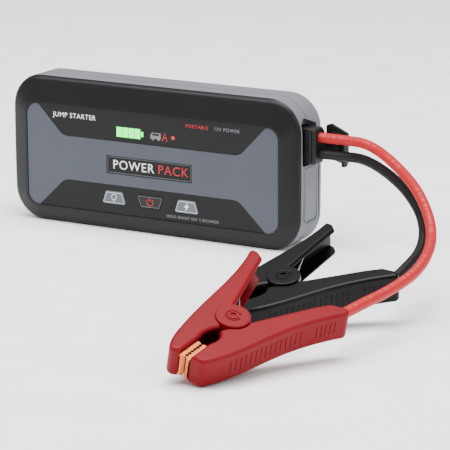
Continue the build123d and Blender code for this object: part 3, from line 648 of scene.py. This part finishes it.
def arc(centre: Flat, radius: float, start: float, end: float, steps: int = 20) -> list[Flat]:
    """Points along an arc, with its ends in degrees from the first axis."""
    angles = [math.radians(start + (end - start) * step / steps) for step in range(steps + 1)]
    return [(centre[0] + radius * math.cos(angle), centre[1] + radius * math.sin(angle)) for angle in angles]


SLOT_OF_NODE: dict[str, str] = {part["node"]: part["material_slot"] for part in frame["record"]["subparts"]}


# ---------------------------------------------------------------- sub-assemblies
@dataclass
class Case:
    """The shells, face frame, screws and the sealed inner pieces of the pack."""

    outer_nodes: tuple[str, ...] = (
        "front_shell", "rear_shell", "face_bezel", "case_screws", "cover_bracket", "cover_pin",
        "port_pin", "torch_lens", "torch_lamp", "usb_a_socket", "usb_c_socket", "jump_socket",
        "socket_contacts",
    )
    inner_nodes: tuple[str, ...] = (
        "main_board", "tact_switches", "power_transistors", "board_chips", "battery_cells",
        "cell_pads", "bus_bars", "port_board",
    )
    bead_radius: float = 0.22
    bead_grow: float = 0.95
    panel_corner: float = 6.5
    label_size: Flat = (64.0, 30.0)
    label_centre: Flat = (0.0, 40.0)
    label_lines: int = 5

    def dress(self) -> None:
        """Give every node of the case its finish."""
        for node in self.outer_nodes:
            refined(node, SLOT_FINISHES[SLOT_OF_NODE[node]])
        for node in self.inner_nodes:
            piece = frame["nodes"][node]
            piece.data.materials.clear()
            piece.data.materials.append(make_material(SLOT_FINISHES[SLOT_OF_NODE[node]]))
            log.info("%s: sealed inside, %s", node, SLOT_OF_NODE[node])

    def add_painted_edge_highlights(self) -> None:
        """Lay a light bead round the face plate as a painted highlight on its bevelled edge, and a finer grey
        one round the badge as a painted highlight on the badge's edge.
        """
        tree = frame_bead_tree()
        edge_highlights = (
            ("panel_rim", "face_panel", self.bead_grow, self.panel_corner, self.bead_radius, -0.03, PANEL_EDGE_HIGHLIGHT),
            ("badge_rim", "badge_plate", -0.5, 1.3, 0.3, 0.08, EDGE_HIGHLIGHT_AND_GROOVE_SHADE),
        )
        for name, node, grow, corner, bead, sink, finish in edge_highlights:
            low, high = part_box(node)
            centre = (low + high) / 2
            mesh = run_tree(
                tree,
                {
                    "Width": high.x - low.x + 2 * grow * MM, "Height": high.z - low.z + 2 * grow * MM,
                    "Corner": (corner + grow) * MM, "Bead": bead * MM,
                    "Centre": (centre.x, low.y + sink * MM, centre.z), "Finish": make_material(finish),
                },
            )
            smooth(mesh, 60)
            new_piece(name, mesh, finish, "pack")

    def add_label(self) -> None:
        """Put a plain rating label with ruled lines on the back."""
        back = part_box("rear_shell")[1].y / MM
        wide, tall = self.label_size
        right, top = wide / 2, tall / 2
        face = slab([(-right, -top), (right, -top), (right, top), (-right, top)])
        sheet = on_face(face, self.label_centre, back + 0.02)
        new_piece("rating_label", sheet, DARK_SHEET, "pack")
        rules = []
        for step in range(self.label_lines):
            up = top - 5 - step * 5
            rules.append([(-right + 5, up), (right - 8 - 6 * (step % 3), up)])
        print_of_rules = on_face(strokes(rules, 0.7), self.label_centre, back + 0.06)
        new_piece("rating_label_rules", print_of_rules, GREY_INK, "pack")


@dataclass
class Face:
    """The face plates, lights, keys and their print."""

    nodes: tuple[str, ...] = (
        "face_panel", "display_window", "keypad_plate", "badge_plate", "gauge_bars", "status_light",
        "light_key", "power_key", "boost_key",
    )
    key_spacing: float = 22.5
    key_height: float = 18.0
    icon_height: float = 54.2
    icon_x: float = 5.2

    def dress(self) -> None:
        """Give every node of the face its finish."""
        for node in self.nodes:
            refined(node, SLOT_FINISHES[SLOT_OF_NODE[node]])

    def front(self, node: str) -> float:
        """The Y of a node's front, in millimetres."""
        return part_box(node)[0].y / MM

    def add_words(self) -> None:
        """Print the plain words on the badge, the window and the keypad plate."""
        prints = (
            ("badge_word_left", "POWER", 5.0, (-10.4, 36.0), "badge_plate", WHITE_INK),
            ("badge_word_right", "PACK", 5.0, (14.2, 36.0), "badge_plate", RED_INK),
            ("window_mark", "JUMP STARTER", 2.7, (-47.0, 60.0), "display_window", WHITE_INK),
            ("window_word", "PORTABLE", 1.9, (29.0, 61.4), "display_window", RED_INK),
            ("window_line", "12V POWER", 1.9, (47.0, 61.4), "display_window", GREY_INK),
            ("keypad_line", "HOLD BOOST KEY 3 SECONDS", 1.5, (26.0, 11.8), "keypad_plate", GREY_INK),
        )
        for name, words, height, centre, node, finish in prints:
            mesh = on_face(lettering(words, height), centre, self.front(node) - 0.02)
            new_piece(name, mesh, finish, "pack")

    def add_window_icons(self) -> None:
        """Print the little car and clamp beside the red light."""
        depth = self.front("display_window") - 0.02
        body = [(-3.4, -1.6), (3.0, -1.6), (3.0, 1.7), (-2.4, 1.7), (-3.4, 0.2)]
        glass = [(-2.3, 0.2), (1.8, 0.2), (1.8, 1.2), (-1.8, 1.2)]
        car = (self.icon_x - 1.2, self.icon_height)
        new_piece("car_icon", on_face(slab(body), car, depth), GREY_INK, "pack")
        new_piece("car_icon_glass", on_face(slab(glass), car, depth - 0.04), DARK_SHEET, "pack")
        for wheel, across in (("front", -1.9), ("rear", 1.6)):
            tyre = slab(arc((across, -1.7), 0.75, 0, 345, 23))
            new_piece(f"car_icon_{wheel}_wheel", on_face(tyre, car, depth - 0.02), GREY_INK, "pack")
        clamp = strokes([[(-1.4, -2.3), (0.0, 2.1), (1.4, -2.3)], [(-0.7, -0.4), (0.7, -0.4)]], 0.7)
        beside = (self.icon_x + 4.2, self.icon_height)
        new_piece("clamp_icon", on_face(clamp, beside, depth), RED_INK, "pack")

    def add_key_icons(self) -> None:
        """Print a lamp, a power sign and a bolt on the three keys."""
        lamp = strokes(
            [
                [(-0.7, -1.1)] + arc((0, 0.5), 1.5, 230, -50) + [(0.7, -1.1), (-0.7, -1.1)],
                [(-0.6, -1.8), (0.6, -1.8)],
            ],
            0.32,
        )
        power = strokes([arc((0, -0.1), 1.9, 120, 420), [(0, 0.3), (0, 2.3)]], 0.5)
        bolt = slab([(0.9, 2.4), (-1.6, -0.4), (-0.2, -0.4), (-0.9, -2.4), (1.6, 0.5), (0.2, 0.5)])
        sites = (
            ("light_key", -self.key_spacing, lamp, WHITE_INK),
            ("power_key", 0.0, power, RED_INK),
            ("boost_key", self.key_spacing, bolt, WHITE_INK),
        )
        for node, across, drawing, finish in sites:
            mesh = on_face(drawing, (across, self.key_height), self.front(node) - 0.02)
            new_piece(f"{node}_icon", mesh, finish, node)

    def add_key_outlines(self) -> None:
        """Print a fine line just inside the edge of each key."""
        half_height = 2.7
        keys = (
            ("light_key", WHITE_INK, 15.0, 2.9, 0.9),
            ("power_key", GREY_INK, 16.8, 0.9, 3.1),
            ("boost_key", WHITE_INK, 15.0, 2.9, 0.9),
        )
        for node, finish, wide, top_inset, base_inset in keys:
            low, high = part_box(node)
            across = (low.x + high.x) / 2 / MM
            top, base = wide / 2 - top_inset, wide / 2 - base_inset
            lower = [(-base, -half_height), (base, -half_height)]
            upper = [(top, half_height), (-top, half_height)]
            line = lower + upper + lower[:1]
            mesh = on_face(strokes([line], 0.26), (across, self.key_height), self.front(node) - 0.01)
            new_piece(f"{node}_outline", mesh, finish, node)


@dataclass
class EndCovers:
    """The two rubber covers in the pack's end."""

    ridge_count: int = 7
    groove_corner: float = 2.6
    groove_bead: float = 0.22
    groove_inset: float = 0.6
    groove_sink: float = 0.1
    hinge_clearance: float = 1.6

    def dress(self, ribs: bpy.types.NodeTree) -> None:
        """Dress both covers and add the port cover's finger ridges.

        Args:
            ribs: The tree that drops ribs on a surface.
        """
        refined("socket_cover", BLACK_RUBBER)
        refined("port_cover", GREY_RUBBER)
        low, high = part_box("port_cover")
        outside = high.x + 3 * MM
        mesh = run_tree(
            ribs,
            {
                "From": (outside, low.y + 2.2 * MM, high.z - 6 * MM),
                "To": (outside, low.y + 2.2 * MM, low.z + 6 * MM),
                "Count": self.ridge_count, "Towards": (-1, 0, 0), "Reach": 6 * MM,
                "Size": (0.9 * MM, 1.8 * MM, 0.4 * MM),
                "Surface": frame["nodes"]["port_cover"], "Finish": make_material(GREY_RUBBER),
            },
        )
        smooth(mesh, 60)
        new_piece("port_cover_ridges", mesh, GREY_RUBBER, "port_cover")
        self.add_painted_groove_shade()

    def add_painted_groove_shade(self) -> None:
        """Lay a dark bead just inside the port cover's edge: painted shade in the groove that runs round it.
        """
        low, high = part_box("port_cover")
        hinge = next(joint for joint in frame["joints"] if joint["name"] == "port_cover_hinge")
        front = low.y + self.groove_inset * MM
        back = hinge["pos_m"][1] - self.hinge_clearance * MM
        mesh = run_tree(
            frame_bead_tree(),
            {
                "Width": back - front, "Height": high.z - low.z - 2 * self.groove_inset * MM,
                "Corner": self.groove_corner * MM, "Bead": self.groove_bead * MM,
                "Centre": (0, 0, 0), "Finish": make_material(EDGE_HIGHLIGHT_AND_GROOVE_SHADE),
            },
        )
        face = Matrix.Translation((high.x - self.groove_sink * MM, (front + back) / 2, (low.z + high.z) / 2))
        mesh.transform(face @ Matrix.Rotation(math.pi / 2, 4, "Z"))
        smooth(mesh, 60)
        new_piece("port_cover_groove", mesh, EDGE_HIGHLIGHT_AND_GROOVE_SHADE, "port_cover")


@dataclass
class Cord:
    """One lead cord on its route, in millimetres."""

    name: str
    route: list[Point]
    finish: Finish
    diameter: float = 5.2
    printed: bool = False
    carries: tuple[str, ...] = ()

    def curve(self) -> bpy.types.Object:
        """Make the cord's curve.

        Returns:
            The curve object, with its round section.
        """
        curve = bpy.data.curves.new(f"{self.name}_line", "CURVE")
        curve.dimensions = "3D"
        spline = curve.splines.new("NURBS")
        spline.points.add(len(self.route) - 1)
        for spot, place in zip(spline.points, self.route):
            spot.co = (place[0] * MM, place[1] * MM, place[2] * MM, 1)
        spline.order_u = 3
        spline.use_endpoint_u = True
        spline.resolution_u = 24
        curve.bevel_depth = self.diameter / 2 * MM
        curve.bevel_resolution = 8
        curve.use_fill_caps = True
        piece = bpy.data.objects.new(f"{self.name}_skin", curve)
        bpy.context.scene.collection.objects.link(piece)
        return piece

    def length(self) -> float:
        """The curve's own length in metres."""
        line = self.curve()
        line.data.bevel_depth = 0
        mesh = baked(line)
        places = [vertex.co for vertex in mesh.vertices]
        return sum((places[edge.vertices[0]] - places[edge.vertices[1]]).length for edge in mesh.edges)

    def dress(self) -> None:
        """Lay the cord in place of its CAD tube and say how long it is."""
        length = self.length()
        piece = self.curve()
        material = printed_cable(self.finish) if self.printed else make_material(self.finish)
        piece.data.materials.append(material)
        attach(piece, "lead")
        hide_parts(self.name)
        log.info("%s: %.0f mm long, %s", self.name, length / MM, self.finish.name)


def printed_cable(finish: Finish) -> bpy.types.Material:
    """The finish of a cable with faint pale printing along one side.

    Args:
        finish: The plain cable finish.

    Returns:
        A material that reads the cable's own map: along it, then round it.
    """
    made = make_material(finish).copy()
    made.name = f"{finish.name}_printed"
    tree = made.node_tree
    link = tree.links.new
    split = add_node(tree, "ShaderNodeSeparateXYZ")
    link(add_node(tree, "ShaderNodeTexCoord").outputs["UV"], split.inputs[0])
    dashes = add_node(tree, "ShaderNodeTexNoise", noise_dimensions="1D", Scale=110.0, Detail=0.0)
    link(split.outputs["X"], dashes.inputs["W"])
    groups = add_node(tree, "ShaderNodeTexNoise", noise_dimensions="1D", Scale=9.0, Detail=0.0)
    link(split.outputs["X"], groups.inputs["W"])
    dash = add_node(tree, "ShaderNodeMath", operation="GREATER_THAN")
    dash.inputs[1].default_value = 0.5
    link(dashes.outputs[0], dash.inputs[0])
    group = add_node(tree, "ShaderNodeMath", operation="GREATER_THAN")
    group.inputs[1].default_value = 0.42
    link(groups.outputs[0], group.inputs[0])
    twist = add_node(tree, "ShaderNodeMath", operation="MULTIPLY_ADD")
    twist.inputs[1].default_value = -0.2
    twist.inputs[2].default_value = 0.35
    link(split.outputs["X"], twist.inputs[0])
    side = add_node(tree, "ShaderNodeMath", operation="COMPARE")
    side.inputs[2].default_value = 0.05
    link(split.outputs["Y"], side.inputs[0])
    link(twist.outputs[0], side.inputs[1])
    mask = add_node(tree, "ShaderNodeMath", operation="MULTIPLY")
    link(dash.outputs[0], mask.inputs[0])
    link(group.outputs[0], mask.inputs[1])
    both = add_node(tree, "ShaderNodeMath", operation="MULTIPLY")
    link(mask.outputs[0], both.inputs[0])
    link(side.outputs[0], both.inputs[1])
    shader = next(node for node in tree.nodes if node.type == "BSDF_PRINCIPLED")
    under = shader.inputs["Base Color"].links[0].from_socket
    mix = add_node(tree, "ShaderNodeMix", data_type="RGBA")
    link(both.outputs[0], mix.inputs[0])
    link(under, mix.inputs[6])
    mix.inputs[7].default_value = linear("#b63c40")
    link(mix.outputs[2], shader.inputs["Base Color"])
    return made


@dataclass
class Lead:
    """The plug and the two cords."""

    grip_ribs: int = 5
    cords: list[Cord] = field(
        default_factory=lambda: [
            Cord(
                "red_cord",
                [
                    (94.5, -1, 60.1), (110, -1, 60.1), (126.5, -8, 61), (148.5, -24, 56.6), (172, -43, 47.8),
                    (191.5, -68, 35), (199, -97, 26), (198, -127, 22.5), (194, -153.5, 20.8),
                    (190.2, -172.1, 18.0),
                ],
                RED_SILICONE, printed=True, carries=("red_", "plug_"),
            ),
            Cord(
                "black_cord",
                [
                    (94.5, -1, 51.5), (109.8, -1, 51.5), (122.2, -5.8, 52.6), (140, -17, 50.4),
                    (160.6, -31.4, 44), (177, -48.8, 35.5), (186.4, -69.7, 28.2), (188.3, -90.9, 23.6),
                    (186.9, -107.4, 19.3),
                ],
                BLACK_SILICONE, carries=("black_",),
            ),
        ]
    )

    def dress(self, ribs: bpy.types.NodeTree) -> None:
        """Dress the plug, its grip ribs and both cords.

        Args:
            ribs: The tree that drops ribs on a surface.
        """
        for node in ("plug_housing", "plug_pins"):
            refined(node, SLOT_FINISHES[SLOT_OF_NODE[node]])
        low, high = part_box("plug_housing")
        middle = (low.z + high.z) / 2
        reach = 3 * MM
        for name, side, away in (("front", low.y, -1), ("back", high.y, 1)):
            mesh = run_tree(
                ribs,
                {
                    "From": (high.x - 1.4 * MM, side + away * reach, middle),
                    "To": (high.x - 5.6 * MM, side + away * reach, middle),
                    "Count": self.grip_ribs, "Towards": (0, -away, 0), "Reach": 2 * reach,
                    "Size": (0.55 * MM, 15 * MM, 0.5 * MM),
                    "Surface": frame["nodes"]["plug_housing"], "Finish": make_material(NYLON),
                },
            )
            smooth(mesh, 60)
            new_piece(f"plug_{name}_ribs", mesh, NYLON, "lead")
        for cord in self.cords:
            cord.dress()


@dataclass
class Clamp:
    """One clamp: two arms on a pin, with copper jaws and a coil spring."""

    colour: str
    along: Point
    plastic: Finish
    disc_half: float = 8.6
    ring_radius: float = 3.3
    ring_bead: float = 0.45
    between_legs: float = 28.0
    twist_reach: float = 2.4
    ring_opening: float = 50.0
    rib_size: Point = (1.1, 6.5, 0.5)
    rib_reach: float = 40.0

    @property
    def joint(self) -> dict:
        """The clamp's squeeze joint in the record."""
        return next(j for j in frame["joints"] if j["name"] == f"{self.colour}_clamp_squeeze")

    def axes(self) -> tuple[Vector, Vector, Vector, Vector]:
        """The clamp's pivot in metres, and its three directions."""
        facing = -Vector(self.joint["axis"]).normalized()
        along = Vector(self.along)
        along = (along - along.dot(facing) * facing).normalized()
        return Vector(self.joint["pos_m"]), along, facing.cross(along), facing

    def at(self, x: float, y: float, out: float = 0.0) -> Vector:
        """A point of the clamp's own plane, in millimetres, as a place in metres."""
        pivot, along, up, facing = self.axes()
        return pivot + (along * x + up * y + facing * out) * MM

    def add_spring(self) -> None:
        """Dress the spring with its two legs; it rides on no body and stays where it is."""
        spring = refined(f"{self.colour}_clamp_spring", SPRING, rides=False)
        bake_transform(spring)

    def dress(self, ribs: bpy.types.NodeTree, rings: bpy.types.NodeTree) -> None:
        """Dress the clamp's nodes and add its moulded ribs and rings.

        Args:
            ribs: The tree that drops ribs on a surface.
            rings: The tree for a raised open ring.
        """
        rigid = ("cable_arm", "grip_arm", "clamp_pin", "cable_jaw", "grip_jaw", "lead_strip", "cable_crimp")
        for part in rigid:
            node = f"{self.colour}_{part}"
            refined(node, SLOT_FINISHES[SLOT_OF_NODE[node]])
        self.add_spring()
        _, along, up, facing = self.axes()
        rows = (
            ("cable_arm", "middle", (30, -14), (-6, -30), 15, up, "lead"),
            ("cable_arm", "heel", (47, -10), (38, -12), 5, up, "lead"),
            ("grip_arm", "back", (4, 36), (-20, 8), 9, along, f"{self.colour}_grip"),
        )
        for part, place, first, last, count, towards, body in rows:
            mesh = run_tree(
                ribs,
                {
                    "From": self.at(*first), "To": self.at(*last), "Count": count,
                    "Towards": towards, "Reach": self.rib_reach * MM,
                    "Size": tuple(value * MM for value in self.rib_size),
                    "Surface": frame["nodes"][f"{self.colour}_{part}"], "Finish": make_material(self.plastic),
                },
            )
            smooth(mesh, 60)
            new_piece(f"{self.colour}_{part}_{place}_ribs", mesh, self.plastic, body)
        for name, side in (("near", 1), ("far", -1)):
            mesh = run_tree(
                rings,
                {
                    "Radius": self.ring_radius * MM, "Bead": self.ring_bead * MM,
                    "Opening": math.radians(self.ring_opening),
                    "Centre": self.at(0, 0, side * self.disc_half), "Facing": facing, "Along": along,
                    "Finish": make_material(self.plastic),
                },
            )
            smooth(mesh, 60)
            new_piece(f"{self.colour}_{name}_disc_ring", mesh, self.plastic, f"{self.colour}_grip")


# ---------------------------------------------------------------- studio
@dataclass
class Studio:
    """The table, the soft lights and the camera."""

    target: Point = (37.3, 0.0, 6.9)
    azimuth: float = 30.0
    elevation: float = 13.77
    roll: float = -0.3
    distance: float = 1374.0
    lens: float = 208.0
    world_light: float = 0.55

    def back(self) -> Vector:
        """The direction from the target to the camera."""
        turn, rise = math.radians(self.azimuth), math.radians(self.elevation)
        return Vector((math.sin(turn) * math.cos(rise), -math.cos(turn) * math.cos(rise), math.sin(rise)))

    def add_camera(self) -> None:
        """Set the camera up where the object is seen from."""
        back = self.back()
        right = Vector((0, 0, 1)).cross(back).normalized()
        up = back.cross(right)
        turn = math.radians(self.roll)
        tilted_right = right * math.cos(turn) + up * math.sin(turn)
        tilted_up = up * math.cos(turn) - right * math.sin(turn)
        data = bpy.data.cameras.new("camera")
        data.lens = self.lens
        data.sensor_width = 36.0
        data.clip_end = 20.0
        camera = bpy.data.objects.new("camera", data)
        bpy.context.scene.collection.objects.link(camera)
        place = Matrix((tilted_right, tilted_up, back)).transposed().to_4x4()
        place.translation = (Vector(self.target) + back * self.distance) * MM
        camera.matrix_world = place
        bpy.context.scene.camera = camera

    def add_light(self, name: str, place: Point, size: float, power: float) -> None:
        """Hang a square soft light that looks at the object.

        Args:
            name: The light's name.
            place: Where it hangs, in metres.
            size: Its side in metres.
            power: Its power in watts.
        """
        data = bpy.data.lights.new(name, "AREA")
        data.size = size
        data.energy = power
        light = bpy.data.objects.new(name, data)
        bpy.context.scene.collection.objects.link(light)
        aim = Vector((0.06, -0.06, 0.03)) - Vector(place)
        light.matrix_world = Matrix.Translation(place) @ aim.to_track_quat("-Z", "Y").to_matrix().to_4x4()

    def add_floor(self) -> None:
        """Lay the white table under the object."""
        mesh = slab([(-6, -6), (6, -6), (6, 6), (-6, 6)], relief=0.005)
        mesh.transform(Matrix.Translation((0, 0, -0.005)))
        mesh.materials.append(make_material(FLOOR))
        floor = bpy.data.objects.new("table_top", mesh)
        bpy.context.scene.collection.objects.link(floor)

    def build(self) -> None:
        """Build the whole studio."""
        world = bpy.data.worlds.new("studio")
        world.use_nodes = True
        sky = world.node_tree.nodes["Background"]
        sky.inputs["Color"].default_value = (1.0, 1.0, 1.0, 1.0)
        sky.inputs["Strength"].default_value = self.world_light
        bpy.context.scene.world = world
        self.add_floor()
        self.add_light("key_light", (-0.7, -1.0, 1.4), 0.9, 25.0)
        self.add_light("top_light", (0.2, -0.1, 1.7), 1.3, 60.0)
        self.add_light("end_light", (1.4, -0.2, 0.9), 0.7, 9.0)
        self.add_camera()


def main() -> None:
    """Dress the whole object and set the studio up."""
    ribs = surface_ribs_tree()
    rings = open_ring_tree()
    case = Case()
    case.dress()
    case.add_painted_edge_highlights()
    case.add_label()
    face = Face()
    face.dress()
    face.add_words()
    face.add_window_icons()
    face.add_key_icons()
    face.add_key_outlines()
    EndCovers().dress(ribs)
    Clamp("red", (0.700, 0.714, -0.011), RED_PLASTIC).dress(ribs, rings)
    Clamp("black", (0.883, 0.467, 0.046), BLACK_PLASTIC).dress(ribs, rings)
    Lead().dress(ribs)
    Studio().build()


if __name__ == "__main__":
    main()
